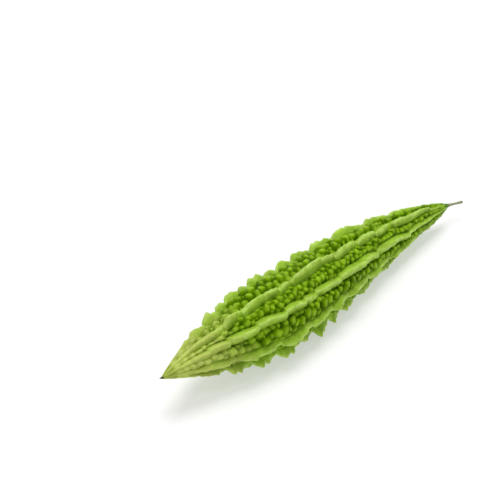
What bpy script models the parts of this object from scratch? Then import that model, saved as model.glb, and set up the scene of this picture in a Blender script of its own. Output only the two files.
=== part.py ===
# Bitter gourd, lying as picked: one spindle-shaped fruit with toothed ridges and rows of warts, the stub of
# its stem and the dry nib that the flower left. Metres, +Z up. The long axis lies along X, with the stem end
# at +X, and the fruit rests on flattened spots of its lower ridges and warts at Z = 0.

import math
import random

import bmesh
import bpy
import numpy as np
from mathutils import Matrix, Vector

# The fruit's outline: its length without the stem, and the radius of its ridge crests.
BODY_LENGTH = 0.240
CREST_RADIUS = 0.0236
BELLY_AT = 0.347  # where the fruit is thickest, as a share of the length from the blossom end
BLOSSOM_POWER = 1.68  # how the radius falls from the belly to the blossom end
STEM_POWER = 1.90  # and to the stem end, which BLUNTNESS rounds off
STEM_BLUNTNESS = 0.72
BLOSSOM_END_RADIUS = 0.0009
STEM_END_RADIUS = 0.0013

# The bend of the fruit's centre line, seen from above: one arch to +Y, and on it an S that swings the belly
# back to -Y and the neck on to +Y.
ARCH = 0.0008
SWING = 0.0030
SWING_SKEW = 1.3

# Ridges. Each path gives the ridge's angle at five even steps from the blossom end to the stem end. Angles
# run round the axis from the top (+Z) over the -Y side, in degrees.
RIDGE_PATHS = (
    (-53, -47, -40, -33, -27),
    (0, 8, 12, 20, 26),
    (42, 50, 54, 65, 70),
    (90, 103, 93, 103, 110),
    (119, 126, 130, 134, 143),
    (150, 156, 163, 171, 176),
    (190, 198, 203, 209, 216),
    (249, 254, 262, 269, 275),
)
PATH_STEPS = (0.0, 0.25, 0.5, 0.75, 1.0)
RIDGE_CURVES = [np.polyfit(PATH_STEPS, path, len(PATH_STEPS) - 1) for path in RIDGE_PATHS]
RIDGE_HEIGHT = 0.0066
RIDGE_HALF_WIDTH = 0.0032
MOST_RIDGE_SHARE = 0.30  # a ridge's half-width takes no more than this of the space to the next ridge
CREST_SHARE = 0.36  # the flat of the crest, as a share of the ridge's width
FULL_RELIEF_RADIUS = 0.0160  # relief shrinks where the fruit is thinner than this
RELIEF_POWERS = (1.8, 1.1)  # on the blossom side and on the stem side of the belly

# Teeth along a ridge: each rises in a short run to its peak and falls slowly to the next notch. Those of the
# first five ridges are given as where they end along the fruit and how high they stand. The others are drawn.
TEETH = (
    ((0.070, 0.95), (0.120, 1.0), (0.165, 1.1), (0.216, 1.15), (0.251, 1.0), (0.298, 1.15), (0.326, 0.9),
     (0.381, 1.05), (0.423, 0.8), (0.473, 0.95), (0.537, 0.95), (0.618, 0.95), (0.722, 0.95), (0.818, 0.75),
     (0.914, 0.65), (1.0, 0.6)),
    ((0.056, 0.8), (0.178, 0.95), (0.232, 1.0), (0.345, 1.0), (0.387, 0.72), (0.545, 1.2), (0.64, 0.9),
     (0.712, 0.9), (0.784, 0.65), (0.928, 1.0), (1.0, 0.5)),
    ((0.113, 0.85), (0.166, 0.9), (0.242, 1.0), (0.325, 0.95), (0.390, 0.85), (0.431, 0.55), (0.524, 0.7),
     (0.684, 0.95), (0.826, 0.75), (1.0, 0.6)),
    ((0.069, 0.9), (0.175, 1.0), (0.296, 1.0), (0.392, 1.1), (0.475, 0.9), (0.539, 0.95), (0.635, 0.9),
     (0.737, 0.8), (0.877, 0.7), (1.0, 0.6)),
    ((0.080, 1.1), (0.150, 1.3), (0.215, 1.35), (0.287, 1.3), (0.368, 1.25), (0.426, 0.9), (0.479, 1.25),
     (0.533, 1.0), (0.601, 1.0), (0.70, 0.9), (0.80, 0.8), (0.90, 0.7), (1.0, 0.6)),
)
TOOTH_SEED = 11
TOOTH_SHARE = (0.060, 0.125)
TOOTH_PEAK = 0.27
TOOTH_HEIGHT = (0.80, 1.0)
NOTCH_HEIGHT = 0.46  # where the fruit is thick; notches are shallower at its ends
TOOTH_FALL_POWERS = (1.7, 0.9, 1.2, 1.1, 0.9, 1.0, 1.0, 1.0)  # 1 is a straight fall, more is blocky

# Warts, in three rows between each two ridges, staggered from row to row.
WART_SEED = 5
WART_HEIGHT = 0.0033
WART_SPREAD = (0.75, 1.10)
WART_SHIFT = 0.0007
WART_TURN_DEG = 0.8
WART_ROWS = 3
VALLEY_LIFT = 0.0002

# The grid: per ridge two crest columns, a foot on each side, and a column for each wart row and each valley
# between.
COLUMNS_PER_RIDGE = 3 + 2 * WART_ROWS
COLUMNS = COLUMNS_PER_RIDGE * len(RIDGE_PATHS)
RINGS = 78

# How the fruit lies: its stem end dips, and the floor presses the lowest ridges flat.
STEM_DIP_DEG = 3.2
AXIS_HEIGHT = 0.0189  # of the axis over the floor, half way along
MIDDLE_X = -0.0058  # where the fruit's own middle stands, so that the box of fruit and stem is centred
MIDDLE_Y = 0.0025

# The stem stub and the nib, which stand off the fruit by a hair.
GAP = 0.0003
STEM_RADIUS = 0.0008
STEM_RUN = ((0, 0, 0), (0.0034, -0.0003, -0.0006), (0.0082, -0.0010, -0.0014), (0.0130, -0.0020, -0.0021))
STEM_WIDTHS = (1.55, 1.05, 0.9, 1.1)
NIB_RADIUS = 0.0007
NIB_RUN = ((0, 0, 0), (-0.0006, 0, 0.0001), (-0.0016, 0.0003, 0.0003))
NIB_WIDTHS = (1.0, 0.75, 0.45)


def crest_radius(t):
    """Radius of the ridge crests at share t of the length."""
    if t < BELLY_AT:
        full, end = 1 - ((BELLY_AT - t) / BELLY_AT) ** BLOSSOM_POWER, BLOSSOM_END_RADIUS
    else:
        full = (1 - ((t - BELLY_AT) / (1 - BELLY_AT)) ** STEM_POWER) ** STEM_BLUNTNESS
        end = STEM_END_RADIUS
    return end + (CREST_RADIUS - end) * full


def relief(t):
    """How much of their full height ridges and warts have at t."""
    return min(1.0, crest_radius(t) / FULL_RELIEF_RADIUS) ** RELIEF_POWERS[t >= BELLY_AT]


def floor_radius(t):
    """Radius of the skin between the warts."""
    return crest_radius(t) - RIDGE_HEIGHT * relief(t) * (1 if 0 < t < 1 else 0)


def centre(t):
    """The centre line at t, with the fruit's middle at the origin."""
    bend = ARCH * math.sin(math.pi * t) - SWING * math.sin(math.tau * t**SWING_SKEW)
    return Vector(((t - 0.5) * BODY_LENGTH, bend, 0))


def make_teeth():
    """For each ridge, its teeth as (end, height), from the blossom end to the stem end."""
    rng = random.Random(TOOTH_SEED)
    ridges = list(TEETH)
    while len(ridges) < len(RIDGE_PATHS):
        ends = [0.0]
        while ends[-1] < 1:
            ends.append(ends[-1] + rng.uniform(*TOOTH_SHARE))
        ridges.append([(end, rng.uniform(*TOOTH_HEIGHT)) for end in ends[1:]])
    return ridges


def tooth_height(teeth, fall_power, t):
    """Height of a ridge at t, as a share of RIDGE_HEIGHT: a quick rise to a peak, then a slow fall."""
    start = 0.0
    for end, height in teeth:
        if t < end:
            along = (t - start) / (end - start)
            if along < TOOTH_PEAK:
                rise = along / TOOTH_PEAK
            else:
                rise = 1 - ((along - TOOTH_PEAK) / (1 - TOOTH_PEAK)) ** fall_power
            return height * (1 - (1 - NOTCH_HEIGHT) * relief(t) ** 2 * (1 - rise))
        start = end
    return NOTCH_HEIGHT


def ridge_angle(ridge, t):
    """Angle of a ridge at t, in radians; the one after the last is the first again, a turn on."""
    turns, own = divmod(ridge, len(RIDGE_PATHS))
    return math.radians(float(np.polyval(RIDGE_CURVES[own], t)) + 360 * turns)


def column_angle(ridge, place, t):
    """Angle of a grid column: places 0 and 1 are the crest, 2 and the last are the feet of two ridges."""
    here, there = ridge_angle(ridge, t), ridge_angle(ridge + 1, t)
    foot = min(RIDGE_HALF_WIDTH / floor_radius(t), MOST_RIDGE_SHARE * (there - here))
    if place < 2:
        return here + (2 * place - 1) * CREST_SHARE * foot
    last = COLUMNS_PER_RIDGE - 1
    return here + foot + (there - here - 2 * foot) * (place - 2) / (last - 2)


def is_wart(ring, place):
    """Warts sit on every second column between the feet and on every second ring, in staggered rows."""
    row = (place - 3) // 2
    return place >= 3 and place % 2 == 1 and (ring + row) % 2 == 0 and 1 < ring < RINGS - 2


def raise_surface(bm):
    """Moves the sphere's rings and columns onto the fruit's skin. Returns the wart tops."""
    teeth = make_teeth()
    rng = random.Random(WART_SEED)
    tops = set()
    for vertex in sorted(bm.verts, key=lambda v: v.index):
        polar = math.acos(max(-1.0, min(1.0, vertex.co.z))) / math.pi * (RINGS + 1)
        ring = round(polar) - 1
        t = 1 - min(max(ring / (RINGS - 1), 0.0), 1.0)
        if not 0 <= ring < RINGS:  # a pole, in the middle of an end's small flat
            vertex.co = centre(t)
            continue
        column = round(math.atan2(vertex.co.y, vertex.co.x) / math.tau * COLUMNS) % COLUMNS
        ridge, place = divmod(column, COLUMNS_PER_RIDGE)
        angle, radius = column_angle(ridge, place, t), floor_radius(t)
        nudge = 0.0
        if 0 < ring < RINGS - 1:
            if place < 2:
                share = tooth_height(teeth[ridge], TOOTH_FALL_POWERS[ridge], t)
                radius += RIDGE_HEIGHT * relief(t) * share
            elif is_wart(ring, place):
                radius += WART_HEIGHT * relief(t) * rng.uniform(*WART_SPREAD)
                angle += math.radians(WART_TURN_DEG) * rng.uniform(-1, 1)
                nudge = WART_SHIFT * rng.uniform(-1, 1)
                tops.add(vertex)
            elif place > 2:
                radius += VALLEY_LIFT * rng.uniform(-1, 1) * relief(t)
        across = Vector((nudge, -math.sin(angle), math.cos(angle)))
        vertex.co = centre(t) + Vector((across.x, across.y * radius, across.z * radius))
    return tops


def split_faces(bm, tops):
    """Splits each quad through its wart top, so that a wart is a cone of eight faces."""
    for face in [f for f in bm.faces if len(f.verts) == 4]:
        corners = list(face.verts)
        first = next((i for i, v in enumerate(corners) if v in tops), 0)
        bmesh.utils.face_split(face, corners[first], corners[(first + 2) % 4])


def press_flat(bm):
    """Cuts away what would reach through the floor and closes the cuts with flat faces."""
    parts = list(bm.verts) + list(bm.edges) + list(bm.faces)
    floor = {"plane_co": (0, 0, 0), "plane_no": (0, 0, 1)}
    bmesh.ops.bisect_plane(bm, geom=parts, dist=1e-6, clear_inner=True, **floor)
    open_edges = [e for e in bm.edges if e.is_boundary]
    bmesh.ops.holes_fill(bm, edges=open_edges)
    bmesh.ops.triangulate(bm, faces=[f for f in bm.faces if len(f.verts) > 3])


def resting_place():
    """Carries the fruit from its own middle to where it lies."""
    dip = Matrix.Rotation(math.radians(STEM_DIP_DEG), 4, "Y")
    return Matrix.Translation((MIDDLE_X, MIDDLE_Y, AXIS_HEIGHT)) @ dip


def make_material(name, colour, roughness):
    material = bpy.data.materials.new(name)
    material.use_nodes = True
    shader = material.node_tree.nodes["Principled BSDF"]
    shader.inputs["Base Color"].default_value = (*colour, 1)
    shader.inputs["Roughness"].default_value = roughness
    shader.inputs["Metallic"].default_value = 0
    return material


def make_fruit(collection):
    bm = bmesh.new()
    bmesh.ops.create_uvsphere(bm, u_segments=COLUMNS, v_segments=RINGS + 1, radius=1)
    bm.verts.index_update()
    tops = raise_surface(bm)
    split_faces(bm, tops)
    # The sphere's Z is the fruit's length. raise_surface puts it along X, a turn that keeps faces outwards.
    bm.transform(resting_place())
    press_flat(bm)
    mesh = bpy.data.meshes.new("fruit")
    bm.to_mesh(mesh)
    bm.free()
    mesh.shade_smooth()
    fruit = bpy.data.objects.new("fruit", mesh)
    fruit.data.materials.append(make_material("waxy_green_skin", (0.21, 0.35, 0.035), 0.38))
    collection.objects.link(fruit)
    return fruit


def make_stub(collection, name, t, outward, run, widths, radius, material):
    """A short tapering tube that continues the centre line past the end at t."""
    curve = bpy.data.curves.new(name, "CURVE")
    curve.dimensions = "3D"
    curve.bevel_depth = radius
    curve.bevel_resolution = 2
    curve.use_fill_caps = True
    spline = curve.splines.new("POLY")
    spline.points.add(len(run) - 1)
    start = centre(t) + Vector((outward * GAP, 0, 0))
    for point, place, width in zip(spline.points, run, widths):
        point.co = (*(start + Vector(place)), 1)
        point.radius = width
    stub = bpy.data.objects.new(name, curve)
    stub.matrix_world = resting_place()
    curve.materials.append(material)
    collection.objects.link(stub)
    return stub


def main():
    for obj in list(bpy.data.objects):
        bpy.data.objects.remove(obj)
    collection = bpy.data.collections.new("bitter_gourd")
    bpy.context.scene.collection.children.link(collection)
    make_fruit(collection)
    stem = make_material("dry_green_stem", (0.16, 0.17, 0.07), 0.7)
    make_stub(collection, "stem", 1.0, 1, STEM_RUN, STEM_WIDTHS, STEM_RADIUS, stem)
    nib = make_material("withered_brown_nib", (0.06, 0.045, 0.02), 0.8)
    make_stub(collection, "blossom_nib", 0.0, -1, NIB_RUN, NIB_WIDTHS, NIB_RADIUS, nib)


main()
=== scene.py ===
# A bitter gourd on a white light table: its skin with toothed ridges and crowded warts, its dry stem and
# the withered nib at the blossom end. Metres, +Z up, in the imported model's frame, the stem end at +X.
import math
import random

import bpy
import numpy as np
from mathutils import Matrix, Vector


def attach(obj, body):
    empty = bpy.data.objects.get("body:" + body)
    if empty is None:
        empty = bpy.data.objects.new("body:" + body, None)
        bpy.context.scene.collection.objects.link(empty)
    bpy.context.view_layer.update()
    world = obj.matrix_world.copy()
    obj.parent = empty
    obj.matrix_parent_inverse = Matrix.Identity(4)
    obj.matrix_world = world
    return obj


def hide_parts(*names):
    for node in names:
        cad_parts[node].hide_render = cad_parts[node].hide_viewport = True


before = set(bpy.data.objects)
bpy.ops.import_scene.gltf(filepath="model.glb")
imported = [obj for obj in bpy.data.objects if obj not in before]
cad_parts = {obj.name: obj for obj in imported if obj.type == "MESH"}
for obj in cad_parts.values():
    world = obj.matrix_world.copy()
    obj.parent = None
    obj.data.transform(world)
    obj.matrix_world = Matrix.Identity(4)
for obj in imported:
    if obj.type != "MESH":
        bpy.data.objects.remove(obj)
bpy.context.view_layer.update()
print("packed model loaded")

# The fruit's outline, its bend and how it lies, as in the solids. Shares run from 0 at the blossom end to 1
# at the stem end.
outline = {
    "length": 0.240,
    "crestRadius": 0.0236,  # over the ridges at the belly
    "bellyAt": 0.347,
    "blossomPower": 1.68,
    "stemPower": 1.90,
    "stemBluntness": 0.72,
    "blossomEndRadius": 0.0009,
    "stemEndRadius": 0.0013,
    "arch": 0.0008,
    "swing": 0.0030,
    "swingSkew": 1.3,
    "dipDeg": 3.2,
    "place": (-0.0058, 0.0025, 0.0189),
    "rings": 416,
    "endSpacing": 0.45,  # how much closer rings may stand at the belly than at the ends
    "spacingSteps": 4001,
    "lump": 0.00025,
    "lumpSize": 0.012,
    "lumpSeed": 3,
}

# A path gives a ridge's angle at even steps along the fruit, in degrees round the axis from +Z over the -Y
# side. A tooth is given as where it ends along the fruit and how high it stands. The first five ridges show
# in the photograph, and the teeth of the others are drawn at random.
ridges = {
    "paths": (
        (-53, -47, -40, -33, -27),
        (0, 8, 12, 20, 26),
        (42, 50, 54, 65, 70),
        (90, 103, 93, 103, 110),
        (119, 126, 130, 134, 143),
        (150, 156, 163, 171, 176),
        (190, 198, 203, 209, 216),
        (249, 254, 262, 269, 275),
    ),
    "height": 0.0066,
    "halfWidth": 0.0028,
    "mostShare": 0.33,  # of the space between two ridges, for the half-width of each
    "fullReliefRadius": 0.0160,
    "reliefPowers": (1.8, 1.1),
    "teeth": (
        ((0.070, 0.95), (0.120, 1.0), (0.165, 1.1), (0.216, 1.15), (0.251, 1.0), (0.298, 1.15),
         (0.326, 0.9), (0.381, 1.05), (0.423, 0.8), (0.473, 0.95), (0.537, 0.95), (0.618, 0.95),
         (0.722, 0.95), (0.818, 0.75), (0.914, 0.65), (1.0, 0.6)),
        ((0.056, 0.8), (0.178, 0.95), (0.232, 1.0), (0.345, 1.0), (0.387, 0.72), (0.545, 1.2),
         (0.64, 0.9), (0.712, 0.9), (0.784, 0.65), (0.928, 1.0), (1.0, 0.5)),
        ((0.113, 0.85), (0.166, 0.9), (0.242, 1.0), (0.325, 0.95), (0.390, 0.85), (0.431, 0.55),
         (0.524, 0.7), (0.684, 0.95), (0.826, 0.75), (1.0, 0.6)),
        ((0.069, 0.9), (0.175, 1.0), (0.296, 1.0), (0.392, 1.1), (0.475, 0.9), (0.539, 0.95),
         (0.635, 0.9), (0.737, 0.8), (0.877, 0.7), (1.0, 0.6)),
        ((0.080, 1.1), (0.150, 1.3), (0.215, 1.35), (0.287, 1.3), (0.368, 1.25), (0.426, 0.9),
         (0.479, 1.25), (0.533, 1.0), (0.601, 1.0), (0.70, 0.9), (0.80, 0.8), (0.90, 0.7), (1.0, 0.6)),
    ),
    "toothSeed": 11,
    "toothShare": (0.060, 0.125),
    "toothHeight": (0.80, 1.0),
    "notchHeights": (0.46, 0.54, 0.62, 0.50, 0.46, 0.50, 0.50, 0.50),
    "notchFade": 2,  # notches fade with this power of the relief
    "rise": 0.27,  # where in a tooth its head is
    "blunt": 0.6,
    "fallPowers": (1.7, 0.9, 1.2, 1.1, 0.9, 1.0, 1.0, 1.0),
    "narrowing": 0.10,
    "sway": 0.0006,
    "waver": 0.0006,
    "waverShare": 0.070,
    "waverSeed": 20,
    "ripple": 0.09,
    "rippleShare": 0.019,
    "rippleSeed": 40,
    "knob": 0.00028,
    "knobSize": 0.0030,
    "knobSeed": 4,
    "edge": 0.0005,  # the height over which wart colour turns into ridge colour
    "tint": 0.5,
    "flankPower": 1.6,
    "crownPower": 0.8,
    "flankPlaces": (0.0, 0.16, 0.36, 0.58, 0.80, 1.0),
    "valleyColumns": 150,
}

warts = {
    "seed": 5,
    "largest": 0.0021,
    "smallest": 0.0007,
    "valleySizes": (1.08, 0.92, 1.10, 1.0, 1.0, 1.05, 0.95, 1.0),
    "sizes": 40,
    "triesPerSize": 110,
    "crowding": 0.93,
    "spread": 1.16,
    "overFoot": 0.05,
    "tipShrink": 0.15,
    "tipFlatten": 0.7,
    "pegValley": 0,  # here the warts stand tall like pegs
    "pegTall": 1.5,
    "ends": (0.035, 0.985),
    "turn": 0.8,
    "stretch": (0.80, 1.45),
    "tipStretch": 0.1,
    "heightShare": (0.60, 1.15),
    "wallPower": 2.6,
    "crownPower": 0.62,
    "warp": 0.00042,
    "warpSize": 0.0036,
    "warpSeeds": (1, 2),
    "bed": 0.0016,
    "bedPower": 6,
    "smoothTip": (0.06, 0.20),
    "smoothRise": 0.55,
}


def toLinear(hexColour):
    # sRGB hex to linear RGBA
    parts = [int(hexColour[i:i + 2], 16) / 255 for i in (1, 3, 5)]
    return (*[p / 12.92 if p <= 0.04045 else ((p + 0.055) / 1.055) ** 2.4 for p in parts], 1.0)


mapLimits = ("From Min", "From Max", "To Min", "To Max")


def addNode(tree, kind, values=None, links=None, stops=None, **settings):
    # one node: its settings, its inputs' values, the sockets that feed it and, for a ramp, its colour stops
    node = tree.nodes.new(kind)
    for name, value in settings.items():
        setattr(node, name, value)
    for key, value in (values or {}).items():
        node.inputs[key].default_value = value
    for key, source in (links or {}).items():
        tree.links.new(source, node.inputs[key])
    for index, (position, colour) in enumerate(stops or []):
        elements = node.color_ramp.elements
        stop = elements[index] if index < 2 else elements.new(position)
        stop.position = position
        stop.color = toLinear(colour)
    return node


def newMaterial(name):
    # an empty material with its node tree and its surface node
    material = bpy.data.materials.new(name)
    material.use_nodes = True
    tree = material.node_tree
    return material, tree, tree.nodes["Principled BSDF"]


def ripple(points, size, seed):
    # smooth noise of about -1 to 1: a sum of sine waves of nearly one length in seeded random directions
    waves = 7
    lengthSpread = (0.7, 1.4)
    usualPeak = 3.2
    rng = np.random.default_rng(seed)
    total = np.zeros(points.shape[:-1])
    for _ in range(waves):
        way = rng.normal(size=3)
        way *= math.tau / size * rng.uniform(*lengthSpread) / np.linalg.norm(way)
        total += np.sin(points @ way + rng.uniform(0, math.tau))
    return total / usualPeak


def gridObject(name, rings, material, attributes):
    # rings is an array of rings x columns x 3. Quads join neighbours all round, and a fan closes each end.
    ringCount, columns = rings.shape[:2]
    points = np.vstack([rings.reshape(-1, 3), rings[0].mean(0), rings[-1].mean(0)])
    ring, column = np.meshgrid(np.arange(ringCount - 1), np.arange(columns), indexing="ij")
    here = ring * columns + column
    beside = ring * columns + (column + 1) % columns
    quads = np.stack([here, beside, beside + columns, here + columns], -1).reshape(-1, 4)
    around = np.arange(columns)
    nextAround = (around + 1) % columns
    first, last = ringCount * columns, ringCount * columns + 1
    start = np.stack([np.full(columns, first), nextAround, around], -1)
    end = np.stack([np.full(columns, last), around, nextAround], -1)
    end[:, 1:] += (ringCount - 1) * columns
    mesh = bpy.data.meshes.new(name)
    mesh.from_pydata(points.tolist(), [], quads.tolist() + start.tolist() + end.tolist())
    # the map is the grid laid flat: round the piece across it, along the piece up it, fans at its two ends
    across = np.stack([column, column + 1, column + 1, column], -1) / columns
    up = (np.stack([ring, ring, ring + 1, ring + 1], -1) + 1) / (ringCount + 1)
    fan = np.stack([around + 0.5, around + 1, around], -1) / columns
    fanBack = np.stack([around + 0.5, around, around + 1], -1) / columns
    low = np.tile([0, 1 / (ringCount + 1), 1 / (ringCount + 1)], (columns, 1))
    uv = np.concatenate([
        np.stack([across, up], -1).reshape(-1, 2),
        np.stack([fan, low], -1).reshape(-1, 2),
        np.stack([fanBack, 1 - low], -1).reshape(-1, 2),
    ])
    mesh.uv_layers.new(name="OFBake").data.foreach_set("uv", uv.ravel())
    for label, values in attributes.items():
        flat = np.concatenate([values.ravel(), [values[0].mean(), values[-1].mean()]])
        mesh.attributes.new(label, "FLOAT", "POINT").data.foreach_set("value", flat.astype(np.float32))
    mesh.shade_smooth()
    piece = bpy.data.objects.new(name, mesh)
    bpy.context.scene.collection.objects.link(piece)
    mesh.materials.append(material)
    print(name, len(quads) * 2 + 2 * columns, "triangles")
    return piece


def crestRadius(t):
    # power curves that fall from the belly to each end
    belly, crest = outline["bellyAt"], outline["crestRadius"]
    blossomEnd, stemEnd = outline["blossomEndRadius"], outline["stemEndRadius"]
    back = np.clip((belly - t) / belly, 0, 1)
    ahead = np.clip((t - belly) / (1 - belly), 0, 1)
    blossom = blossomEnd + (crest - blossomEnd) * (1 - back ** outline["blossomPower"])
    full = (1 - ahead ** outline["stemPower"]) ** outline["stemBluntness"]
    return np.where(t < belly, blossom, stemEnd + (crest - stemEnd) * full)


def reliefAt(t):
    # ridges and warts lose height where the fruit is thin, on the blossom side more than on the stem side
    power = np.where(t < outline["bellyAt"], *ridges["reliefPowers"])
    return np.minimum(1, crestRadius(t) / ridges["fullReliefRadius"]) ** power


def floorRadius(t):
    # the skin between the ridges: the crests' radius less the height of a ridge there, and none at the ends
    return crestRadius(t) - ridges["height"] * reliefAt(t) * ((t > 0) & (t < 1))


def layDown(points):
    # from the fruit's own middle to where it lies: the stem end dips, and the floor presses the skin flat
    dip = math.radians(outline["dipDeg"])
    x = points[..., 0] * math.cos(dip) + points[..., 2] * math.sin(dip)
    z = points[..., 2] * math.cos(dip) - points[..., 0] * math.sin(dip)
    laid = np.stack([x, points[..., 1], z], -1) + np.array(outline["place"])
    laid[..., 2] = np.maximum(laid[..., 2], 0)
    return laid


def centreLine(t):
    # an arch to +Y, and on it an S
    wave = np.sin(math.tau * t ** outline["swingSkew"])
    bend = outline["arch"] * np.sin(math.pi * t) - outline["swing"] * wave
    return np.stack([(t - 0.5) * outline["length"], bend, np.zeros_like(t)], -1)


def growTeeth():
    # for each ridge its teeth as end and height, the unseen ones drawn in the same order as for the solids
    rng = random.Random(ridges["toothSeed"])
    grown = list(ridges["teeth"])
    while len(grown) < len(ridges["paths"]):
        ends = [0.0]
        while ends[-1] < 1:
            ends.append(ends[-1] + rng.uniform(*ridges["toothShare"]))
        grown.append([(end, rng.uniform(*ridges["toothHeight"])) for end in ends[1:]])
    return grown


def ridgeLine(index, teeth, t):
    # angle, height, half-width and sideways sway of a ridge at the shares t. The angle runs on the smooth
    # curve through its path. A tooth rises straight to its head and falls on a power curve, is blunt and
    # widest at its head, and runs slightly askew to the ridge. Notches fade where the fruit is thin.
    turns, own = divmod(index, len(ridges["paths"]))
    path = ridges["paths"][own]
    curve = np.polyfit(np.linspace(0, 1, len(path)), path, len(path) - 1)
    angle = np.radians(np.polyval(curve, t) + 360 * turns)
    relief = reliefAt(t)
    depth = (1 - ridges["notchHeights"][own]) * relief ** ridges["notchFade"]
    rise, askew = ridges["rise"], 1 if own % 2 else -1
    height = np.zeros_like(t)
    width = np.ones_like(t)
    sway = np.zeros_like(t)
    start = 0.0
    for end, tall in teeth[own]:
        inside = (t >= start) & (t <= end)
        along = (t[inside] - start) / (end - start)
        fall = 1 - (np.clip(along - rise, 0, 1) / (1 - rise)) ** ridges["fallPowers"][own]
        head = np.where(along < rise, along / rise, fall)
        head += ridges["blunt"] * (np.sin(math.pi / 2 * head) - head)
        height[inside] = tall * (1 - depth[inside] * (1 - head))
        width[inside] = 1 - ridges["narrowing"] * (1 - head)
        sway[inside] = (1 - 2 * along) * askew
        start = end
    line = np.stack([t, 0 * t, 0 * t], -1)
    height *= ridges["height"] * relief
    height *= 1 + ridges["ripple"] * ripple(line, ridges["rippleShare"], ridges["rippleSeed"] + own)
    waver = ridges["waver"] * ripple(line, ridges["waverShare"], ridges["waverSeed"] + own)
    return angle, height, width, (sway * ridges["sway"] + waver) * relief


def ringShares():
    # rings stand closer where the relief is full
    fine = np.linspace(0, 1, outline["spacingSteps"])
    weight = outline["endSpacing"] + (1 - outline["endSpacing"]) * reliefAt(fine)
    travelled = np.concatenate([[0], np.cumsum((weight[1:] + weight[:-1]) / 2)])
    return np.interp(np.linspace(0, travelled[-1], outline["rings"]), travelled, fine)


def sowWarts(t, feet):
    # fills each valley with circles, largest first, keeping each clear of the ones before it
    rng = random.Random(warts["seed"])
    sown = []
    for index, (left, right) in enumerate(feet):
        placed = np.zeros((0, 3))
        for step in range(warts["sizes"]):
            share = step / (warts["sizes"] - 1)
            size = warts["largest"] + (warts["smallest"] - warts["largest"]) * share
            size *= warts["valleySizes"][index]
            for _ in range(warts["triesPerSize"]):
                at = rng.uniform(*warts["ends"])
                across = rng.uniform(-warts["overFoot"], 1 + warts["overFoot"])
                relief = float(reliefAt(np.array(at)))
                radius = size * (1 - warts["tipShrink"] * (1 - relief))
                low, high = np.interp(at, t, left), np.interp(at, t, right)
                bed = float(floorRadius(np.array(at)))
                angle = low + (high - low) * across
                spot = np.array([at * outline["length"], angle * bed])
                apart = np.hypot(*(placed[:, :2] - spot).T)
                gaps = apart - warts["crowding"] * (placed[:, 2] + radius)
                if len(placed) and gaps.min() < 0:
                    continue
                placed = np.vstack([placed, [*spot, radius]])
                tall = radius * rng.uniform(*warts["heightShare"]) * relief ** warts["tipFlatten"]
                if index == warts["pegValley"]:
                    tall *= warts["pegTall"]
                stretch = rng.uniform(*warts["stretch"]) + warts["tipStretch"] * (1 - relief)
                turn = rng.uniform(-warts["turn"], warts["turn"])
                reach = radius * warts["spread"]
                sown.append((index, at, angle, reach, tall, stretch, turn, rng.random()))
    return sown


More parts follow.
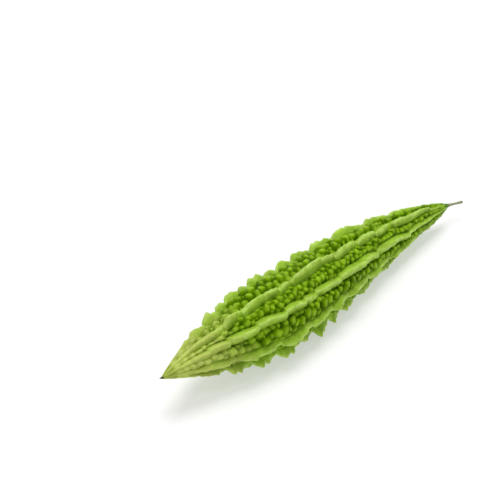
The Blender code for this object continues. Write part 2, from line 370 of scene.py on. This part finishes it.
def skinGrid():
    # the skin as a function of share along and angle round: a floor, ridges raised on it with columns that
    # follow their feet, a low bed in each valley and on it domes for the warts, of which the highest wins
    t = ringShares()
    count = len(ridges["paths"])
    teeth = growTeeth()
    bed = floorRadius(t)
    lines = [ridgeLine(i, teeth, t) for i in range(count + 1)]
    spaces = np.array([np.mean(lines[i + 1][0] - lines[i][0]) for i in range(count)])
    spaces -= 2 * ridges["halfWidth"] / bed.max()
    columnCounts = np.round(ridges["valleyColumns"] * spaces / spaces.sum()).astype(int)
    # each part runs from one ridge's crest down its flank, through the valley and up to the next crest
    places = np.array(ridges["flankPlaces"])
    crown = (1 - places ** ridges["flankPower"]) ** ridges["crownPower"]
    angles, rises, flanks, beds, feet = [], [], [], [], []
    for index in range(count):
        (here, tall, wide, sway), (there, nextTall, nextWide, nextSway) = lines[index:index + 2]
        most = ridges["mostShare"] * (there - here)
        foot = np.minimum(ridges["halfWidth"] * wide / bed, most)[:, None]
        nextFoot = np.minimum(ridges["halfWidth"] * nextWide / bed, most)[:, None]
        down = (here + sway / bed)[:, None] + foot * places
        up = (there + nextSway / bed)[:, None] - nextFoot * places[:0:-1]
        share = np.arange(1, columnCounts[index] + 1) / (columnCounts[index] + 1)
        valley = down[:, -1:] + (up[:, :1] - down[:, -1:]) * share
        angles.append(np.hstack([down, valley, up]))
        lift = warts["bed"] * (1 - np.abs(2 * share - 1) ** warts["bedPower"])
        rises.append(np.hstack([tall[:, None] * crown, 0 * valley, nextTall[:, None] * crown[:0:-1]]))
        beds.append(np.hstack([0 * down, lift + 0 * valley, 0 * up]))
        flanks.append(np.hstack([crown + 0 * down, 0 * valley, crown[:0:-1] + 0 * up]))
        feet.append((down[:, -1], up[:, 0]))
    edges = np.cumsum([0, *[part.shape[1] for part in angles]])
    angle, ridge = np.hstack(angles), np.hstack(rises)
    # a wart is a dome on an ellipse whose outline is warped by noise
    lengthwise = np.repeat(t[:, None] * outline["length"], angle.shape[1], 1)
    flat = np.stack([lengthwise, angle * bed[:, None], np.zeros_like(angle)], -1)
    warpAlong, warpAcross = [
        warts["warp"] * ripple(flat, warts["warpSize"], seed) for seed in warts["warpSeeds"]]
    wart = np.zeros_like(angle)
    share = np.zeros_like(angle)
    tint = np.full_like(angle, ridges["tint"])
    sown = sowWarts(t, feet)
    for index, at, middle, radius, tall, stretch, turn, shade in sown:
        reach = (radius * max(stretch, 1) + 2 * warts["warp"]) / outline["length"]
        rows = slice(*np.searchsorted(t, [at - reach, at + reach]))
        columns = slice(edges[index], edges[index + 1])
        along = (t[rows, None] - at) * outline["length"] + warpAlong[rows, columns]
        across = (angle[rows, columns] - middle) * bed[rows, None] + warpAcross[rows, columns]
        a = along * math.cos(turn) + across * math.sin(turn)
        b = across * math.cos(turn) - along * math.sin(turn)
        out = np.minimum(1, np.hypot(a / stretch, b) / radius)
        dome = tall * (1 - out ** warts["wallPower"]) ** warts["crownPower"]
        higher = dome > wart[rows, columns]
        wart[rows, columns][higher] = dome[higher]
        share[rows, columns][higher] = dome[higher] / tall
        tint[rows, columns][higher] = shade
    print(len(sown), "warts")
    relief = reliefAt(t)[:, None]
    height = np.maximum(ridge, wart + np.hstack(beds) * relief)
    onRidge = np.clip((ridge - wart) / (ridges["edge"] * relief), 0, 1)
    outwards = np.stack([np.zeros_like(angle), -np.sin(angle), np.cos(angle)], -1)
    body = centreLine(t)[:, None] + outwards * (bed[:, None] + height)[..., None]
    lumps = outline["lump"] * relief * ripple(body, outline["lumpSize"], outline["lumpSeed"])
    knobs = ridges["knob"] * relief * onRidge * ripple(body, ridges["knobSize"], ridges["knobSeed"])
    body += outwards * (lumps + knobs)[..., None]
    # near the tip the bed itself is skin colour rather than painted crease shade, so that the painted shade
    # in the creases is left as lines
    smooth = np.interp(t, warts["smoothTip"], [1.0, 0.0])[:, None]
    bare = warts["smoothRise"] * smooth * np.hstack(beds) / warts["bed"]
    marks = {
        "rise": np.maximum(share, bare) * (1 - onRidge) + np.hstack(flanks) * onRidge,
        "ridge": onRidge,
        "tint": tint,
        "along": np.repeat(t[:, None], angle.shape[1], 1),
    }
    return layDown(body), marks


# A ramp runs from a wart's or a ridge's foot to its top: the skin's own green, darker at the foot as painted
# shade in the creases and lighter at the top as a painted highlight. Sizes of patterns are in metres, and
# depths too.
skin = {
    "wartPaintedLightRamp": ((0.0, "#3C6000"), (0.32, "#4F7800"), (0.72, "#668D00"), (1.0, "#90B724")),
    # a ridge's green, darkest at its foot as a painted shade line along the crease and brightest at its
    # crest as a painted highlight
    "ridgePaintedLightRamp": ((0.0, "#355B00"), (0.12, "#6E970C"), (0.40, "#88AF2A"), (0.80, "#99BF3C"),
                  (1.0, "#B7D664")),
    "palePaintedLightRamp": ((0.0, "#4F6400"), (0.30, "#92A834"), (1.0, "#BECC68")),
    "stemEnd": "#4F8218",
    "paleFrom": (0.31, 0.17),
    "deepFrom": (0.94, 1.12),
    "deepMost": 0.3,
    "ragged": 0.16,
    "noiseDetail": 3.0,
    "noiseMiddle": (0.3, 0.7),
    "blotch": 0.009,
    "blotchShade": (0.90, 1.08),
    "wartShade": (0.84, 1.12),
    "streak": 0.0022,
    "streakStretch": 0.35,
    "streakShift": (-0.16, 0.16),
    "speckle": 0.0011,
    "speckleShade": (0.90, 1.08),
    "dent": 0.00012,
    "pore": 0.0004,  # coarser than the real ones, which are too fine to show
    "poreDepth": 0.00003,
    "glossRise": (0.0, 0.6),
    "roughness": (0.85, 0.27),  # at the two ends of glossRise
    "gloss": 0.07,
    "glossTint": "#F0FFA0",
    "ior": 1.45,
    "glow": 0.04,
    "glowReach": (0.5, 1.0, 0.2),
    "glowDepth": 0.0015,
}


def makeSkinMaterial():
    # Live skin of a young fruit under a thin wax bloom: soft gloss on whatever stands up, dull in the
    # creases, which are made deep green by painted shade, while the tops are lightened by a painted
    # highlight. A colour mix takes its colours at inputs 6 and 7 and gives them at output 2.
    material, tree, shader = newMaterial("waxy_gourd_skin")
    place = addNode(tree, "ShaderNodeTexCoord").outputs["Object"]
    rise, ridge, tint, along = [
        addNode(tree, "ShaderNodeAttribute", attribute_name=mark).outputs["Fac"]
        for mark in ("rise", "ridge", "tint", "along")]
    # soft noise of four sizes, of which the streaks are drawn out along the fruit
    drawn = addNode(tree, "ShaderNodeMapping", {"Scale": (skin["streakStretch"], 1, 1)},
                    {"Vector": place}).outputs["Vector"]
    noises = {}
    for name, where in (("streak", drawn), ("blotch", place), ("speckle", place), ("pore", place)):
        values = {"Scale": 1 / skin[name], "Detail": skin["noiseDetail"]}
        noises[name] = addNode(tree, "ShaderNodeTexNoise", values, {"Vector": where}).outputs["Fac"]
    shift, cloud, grain = [
        addNode(tree, "ShaderNodeMapRange", dict(zip(mapLimits, (*skin["noiseMiddle"], *skin[goal]))),
                {"Value": noises[name]}).outputs["Result"]
        for name, goal in (
            ("streak", "streakShift"), ("blotch", "blotchShade"), ("speckle", "speckleShade"))]
    # green by height on the warts, and on a ridge shifted to and fro by the streaks; each ramp gives painted
    # shade at a foot and a painted highlight at a top
    wartGreenAndPaintedLight = addNode(tree, "ShaderNodeValToRGB", links={"Fac": rise}, stops=skin["wartPaintedLightRamp"])
    streaked = addNode(tree, "ShaderNodeMath", links={0: rise, 1: shift}, operation="ADD")
    ridgeGreenAndPaintedLight = addNode(tree, "ShaderNodeValToRGB", links={"Fac": streaked.outputs[0]},
                          stops=skin["ridgePaintedLightRamp"])
    # the pale blossom end's own colour, with the same painted shade at a foot and painted highlight at a top
    paleGreenAndPaintedLight = addNode(tree, "ShaderNodeValToRGB", links={"Fac": rise}, stops=skin["palePaintedLightRamp"])
    green = addNode(tree, "ShaderNodeMix", data_type="RGBA", links={
        0: ridge, 6: wartGreenAndPaintedLight.outputs["Color"], 7: ridgeGreenAndPaintedLight.outputs["Color"]})
    # pale at the blossom end and deeper at the stem end, the edges broken up by blotches
    ragged = addNode(tree, "ShaderNodeMath", {1: skin["ragged"]}, {0: noises["blotch"], 2: along},
                     operation="MULTIPLY_ADD").outputs[0]
    pale = addNode(tree, "ShaderNodeMapRange", dict(zip(mapLimits, (*skin["paleFrom"], 0, 1))),
                   {"Value": ragged})
    ended = addNode(tree, "ShaderNodeMix", data_type="RGBA", links={
        0: pale.outputs["Result"], 6: green.outputs[2], 7: paleGreenAndPaintedLight.outputs["Color"]})
    deep = addNode(tree, "ShaderNodeMapRange",
                   dict(zip(mapLimits, (*skin["deepFrom"], 0, skin["deepMost"]))), {"Value": ragged})
    stemmed = addNode(tree, "ShaderNodeMix", {7: toLinear(skin["stemEnd"])},
                      {0: deep.outputs["Result"], 6: ended.outputs[2]}, data_type="RGBA")
    # each wart a little lighter or darker than the next, with soft blotches and speckles over all
    value = addNode(tree, "ShaderNodeMapRange", dict(zip(mapLimits, (0, 1, *skin["wartShade"]))),
                    {"Value": tint}).outputs["Result"]
    for shade in (cloud, grain):
        value = addNode(tree, "ShaderNodeMath", links={0: value, 1: shade},
                        operation="MULTIPLY").outputs[0]
    shaded = addNode(tree, "ShaderNodeHueSaturation", links={"Value": value, "Color": stemmed.outputs[2]})
    tree.links.new(shaded.outputs["Color"], shader.inputs["Base Color"])
    # shallow dents and finer pores
    dents = addNode(tree, "ShaderNodeBump", {"Distance": skin["dent"]}, {"Height": noises["speckle"]})
    bump = addNode(tree, "ShaderNodeBump", {"Distance": skin["poreDepth"]},
                   {"Height": noises["pore"], "Normal": dents.outputs["Normal"]})
    tree.links.new(bump.outputs["Normal"], shader.inputs["Normal"])
    dull = addNode(tree, "ShaderNodeMapRange",
                   dict(zip(mapLimits, (*skin["glossRise"], *skin["roughness"]))), {"Value": rise})
    tree.links.new(dull.outputs["Result"], shader.inputs["Roughness"])
    shader.inputs["IOR"].default_value = skin["ior"]
    shader.inputs["Specular IOR Level"].default_value = skin["gloss"]
    shader.inputs["Specular Tint"].default_value = toLinear(skin["glossTint"])
    shader.inputs["Subsurface Weight"].default_value = skin["glow"]
    shader.inputs["Subsurface Radius"].default_value = skin["glowReach"]
    shader.inputs["Subsurface Scale"].default_value = skin["glowDepth"]
    return material


skinRings, skinMarks = skinGrid()
fruit = gridObject("fruit_skin", skinRings, makeSkinMaterial(), skinMarks)
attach(fruit, "root")
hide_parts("fruit")
print("fruit grown")

# The stub of the stem and the withered nib. A run starts inside the fruit's end and goes on along its axis.
# Widths are shares of the radius at the run's points.
stem = {
    "run": ((-0.0012, 0, 0.0002), (0.0034, -0.0003, -0.0006), (0.0082, -0.0010, -0.0014),
            (0.0133, -0.0020, -0.0021)),
    "widths": (2.4, 1.10, 0.9, 1.15),
    "radius": 0.0008,
    "ribs": 5,
    "ribDepth": 0.16,
    "twistDeg": 70,
    "lumps": 0.05,
    "lumpSize": 0.0018,
    "lumpSeed": 9,
    "rings": 90,
    "columns": 60,
    "ramp": ((0.25, "#666C46"), (1.0, "#A8AC86")),  # from furrow to rib
    "greenEnd": "#5C8426",
    "greenFrom": (0.30, 0.08),
    "cutEnd": "#8C7E4E",
    "cutFrom": (0.94, 1.0),
    "fibre": 0.0005,
    "fibreDetail": 3.0,
    "fibreShare": 0.6,
    "fibreDepth": 0.00004,
    "roughness": 0.65,
    "gloss": 0.25,
}

nib = {
    "run": ((0.0012, 0.0, -0.0001), (-0.0006, 0.0, 0.0001), (-0.0020, 0.0003, 0.0004)),
    "widths": (1.35, 0.85, 0.40),
    "radius": 0.0007,
    "ribs": 7,
    "ribDepth": 0.24,
    "twistDeg": -50,
    "lumps": 0.14,
    "lumpSize": 0.0009,
    "lumpSeed": 9,
    "rings": 50,
    "columns": 56,
    "ramp": ((0.25, "#1F190C"), (1.0, "#544422")),
    "greenEnd": "#6B6A2C",
    "greenFrom": (0.30, 0.08),
    "cutEnd": "#2E2012",
    "cutFrom": (0.94, 1.0),
    "fibre": 0.0005,
    "fibreDetail": 3.0,
    "fibreShare": 0.6,
    "fibreDepth": 0.00004,
    "roughness": 0.8,
    "gloss": 0.25,
}


def stubGrid(part, end):
    # a ribbed tube along a curve through the run's points, the ribs twisting round it, uneven in thickness
    knots = np.linspace(0, 1, len(part["run"]))
    u = np.linspace(0, 1, part["rings"])
    curves = [np.polyfit(knots, axis, len(knots) - 1) for axis in zip(*part["run"])]
    path = np.stack([np.polyval(curve, u) for curve in curves], -1)
    ahead = np.gradient(path, axis=0)
    ahead /= np.linalg.norm(ahead, axis=1, keepdims=True)
    side = np.cross(ahead, [0, 0, 1.0])
    side /= np.linalg.norm(side, axis=1, keepdims=True)
    above = np.cross(side, ahead)
    way = 1 if ahead[0, 0] > 0 else -1
    angle = np.linspace(0, math.tau, part["columns"], endpoint=False) * way
    twist = math.radians(part["twistDeg"]) * u[:, None]
    rib = 0.5 + 0.5 * np.cos(part["ribs"] * (angle + twist))
    width = part["radius"] * np.interp(u, knots, part["widths"])[:, None]
    outwards = side[:, None] * np.cos(angle)[:, None] + above[:, None] * np.sin(angle)[:, None]
    tube = path[:, None] + outwards * width[..., None]
    uneven = 1 + part["lumps"] * ripple(tube, part["lumpSize"], part["lumpSeed"])
    radius = width * uneven * (1 - part["ribDepth"] * (1 - rib))
    start = centreLine(np.array(end)) + path[:, None]
    marks = {"rise": rib, "along": np.repeat(u[:, None], part["columns"], 1)}
    return layDown(start + outwards * radius[..., None]), marks


def makeStubMaterial(name, part):
    # A stem that dries once it is cut, and a flower's remains: fibres in ribs, dull, paler on the ribs,
    # green where they leave the fruit and brown at the cut.
    material, tree, shader = newMaterial(name)
    place = addNode(tree, "ShaderNodeTexCoord").outputs["Object"]
    rise, along = [
        addNode(tree, "ShaderNodeAttribute", attribute_name=mark).outputs["Fac"]
        for mark in ("rise", "along")]
    values = {"Scale": 1 / part["fibre"], "Detail": part["fibreDetail"]}
    fibres = addNode(tree, "ShaderNodeTexNoise", values, {"Vector": place}).outputs["Fac"]
    mixed = addNode(tree, "ShaderNodeMath", {1: part["fibreShare"]}, {0: fibres, 2: rise},
                    operation="MULTIPLY_ADD")
    ramp = addNode(tree, "ShaderNodeValToRGB", links={"Fac": mixed.outputs[0]}, stops=part["ramp"])
    root, cut = [
        addNode(tree, "ShaderNodeMapRange", dict(zip(mapLimits, (*part[span], 0, 1))), {"Value": along})
        for span in ("greenFrom", "cutFrom")]
    rooted = addNode(tree, "ShaderNodeMix", {7: toLinear(part["greenEnd"])},
                     {0: root.outputs["Result"], 6: ramp.outputs["Color"]}, data_type="RGBA")
    cutOff = addNode(tree, "ShaderNodeMix", {7: toLinear(part["cutEnd"])},
                     {0: cut.outputs["Result"], 6: rooted.outputs[2]}, data_type="RGBA")
    tree.links.new(cutOff.outputs[2], shader.inputs["Base Color"])
    bump = addNode(tree, "ShaderNodeBump", {"Distance": part["fibreDepth"]}, {"Height": fibres})
    tree.links.new(bump.outputs["Normal"], shader.inputs["Normal"])
    shader.inputs["Roughness"].default_value = part["roughness"]
    shader.inputs["Specular IOR Level"].default_value = part["gloss"]
    return material


for name, part, end, node, slot in (
        ("stem_stub", stem, 1.0, "stem", "dry_stem"),
        ("dry_nib", nib, 0.0, "blossom_nib", "withered_nib")):
    rings, marks = stubGrid(part, end)
    stub = gridObject(name, rings, makeStubMaterial(name, part), marks)
    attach(stub, "root")
    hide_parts(node)
print("stem and nib grown")

# The floor, the lights and the camera at the photograph's viewing angle.
studio = {
    "azimuthDeg": -47.5,
    "elevationDeg": 36.1,
    "distance": 1.30,
    "metresPerPixel": 0.00056,
    "pictureSize": 500,
    "sensor": 0.036,
    "blossomPixel": (159, 380),
    "stemPixel": (448, 205),
    "aimSteps": 4,
    "keyPlace": (0.45, 0.30, 1.9),
    "keyStrength": 1.96,
    "keySpreadDeg": 38,
    "fillPlace": (-0.9, -0.2, 1.2),
    "fillSize": 0.3,
    "fillWatts": 2.0,
    "sky": "#FFFFFF",
    "skyStrength": 0.46,
    "floorSize": 6.0,
    "floorColour": "#C0C0C0",
    "floorRoughness": 0.7,
    "floorLight": "#FFFFFF",
    "floorGlow": 0.46,
}


def makeStudio():
    # a white sky, and a sheet of opal acrylic lit from below: evenly white to the eye, with soft shadows
    scene = bpy.context.scene
    scene.view_settings.view_transform = "Standard"
    world = bpy.data.worlds.new("studio_white")
    world.use_nodes = True
    background = world.node_tree.nodes["Background"]
    background.inputs["Color"].default_value = toLinear(studio["sky"])
    background.inputs["Strength"].default_value = studio["skyStrength"]
    scene.world = world
    floorMaterial, _, shader = newMaterial("white_light_table")
    shader.inputs["Base Color"].default_value = toLinear(studio["floorColour"])
    shader.inputs["Roughness"].default_value = studio["floorRoughness"]
    shader.inputs["Emission Color"].default_value = toLinear(studio["floorLight"])
    shader.inputs["Emission Strength"].default_value = studio["floorGlow"]
    half = studio["floorSize"] / 2
    mesh = bpy.data.meshes.new("floor")
    corners = [(-half, -half, 0), (half, -half, 0), (half, half, 0), (-half, half, 0)]
    mesh.from_pydata(corners, [], [(0, 1, 2, 3)])
    mesh.materials.append(floorMaterial)
    floor = bpy.data.objects.new("floor", mesh)
    scene.collection.objects.link(floor)
    sun = bpy.data.lights.new("key", "SUN")
    sun.energy = studio["keyStrength"]
    sun.angle = math.radians(studio["keySpreadDeg"])
    fill = bpy.data.lights.new("fill", "AREA")
    fill.energy = studio["fillWatts"]
    fill.size = studio["fillSize"]
    for light, place in ((sun, studio["keyPlace"]), (fill, studio["fillPlace"])):
        lamp = bpy.data.objects.new(light.name, light)
        lamp.location = place
        lamp.rotation_euler = Vector(place).to_track_quat("Z", "Y").to_euler()
        scene.collection.objects.link(lamp)


def makeCamera():
    # stands back along the viewing direction, aimed so that the fruit's two ends fall on their pixels
    turn, lift = math.radians(studio["azimuthDeg"]), math.radians(studio["elevationDeg"])
    back = Vector((math.sin(turn) * math.cos(lift), -math.cos(turn) * math.cos(lift), math.sin(lift)))
    right = Vector((math.cos(turn), math.sin(turn), 0))
    up = back.cross(right)
    ends = [Vector(end) for end in layDown(centreLine(np.array([0.0, 1.0])))]
    scale = studio["metresPerPixel"]
    wanted = [(x - studio["pictureSize"] / 2, studio["pictureSize"] / 2 - y)
              for x, y in (studio["blossomPixel"], studio["stemPixel"])]
    aim = (ends[0] + ends[1]) / 2
    for _ in range(studio["aimSteps"]):
        for end, (x, y) in zip(ends, wanted):
            offset = end - aim
            nearer = studio["distance"] / (studio["distance"] - offset.dot(back))
            aim = aim + right * (offset.dot(right) * nearer - x * scale) / 2
            aim = aim + up * (offset.dot(up) * nearer - y * scale) / 2
    data = bpy.data.cameras.new("camera")
    data.sensor_width = studio["sensor"] * 1000
    data.lens = data.sensor_width * studio["distance"] / (studio["pictureSize"] * scale)
    camera = bpy.data.objects.new("camera", data)
    camera.location = aim + back * studio["distance"]
    camera.rotation_euler = back.to_track_quat("Z", "Y").to_euler()
    bpy.context.scene.collection.objects.link(camera)
    bpy.context.scene.camera = camera


makeStudio()
makeCamera()
print("studio and camera set")
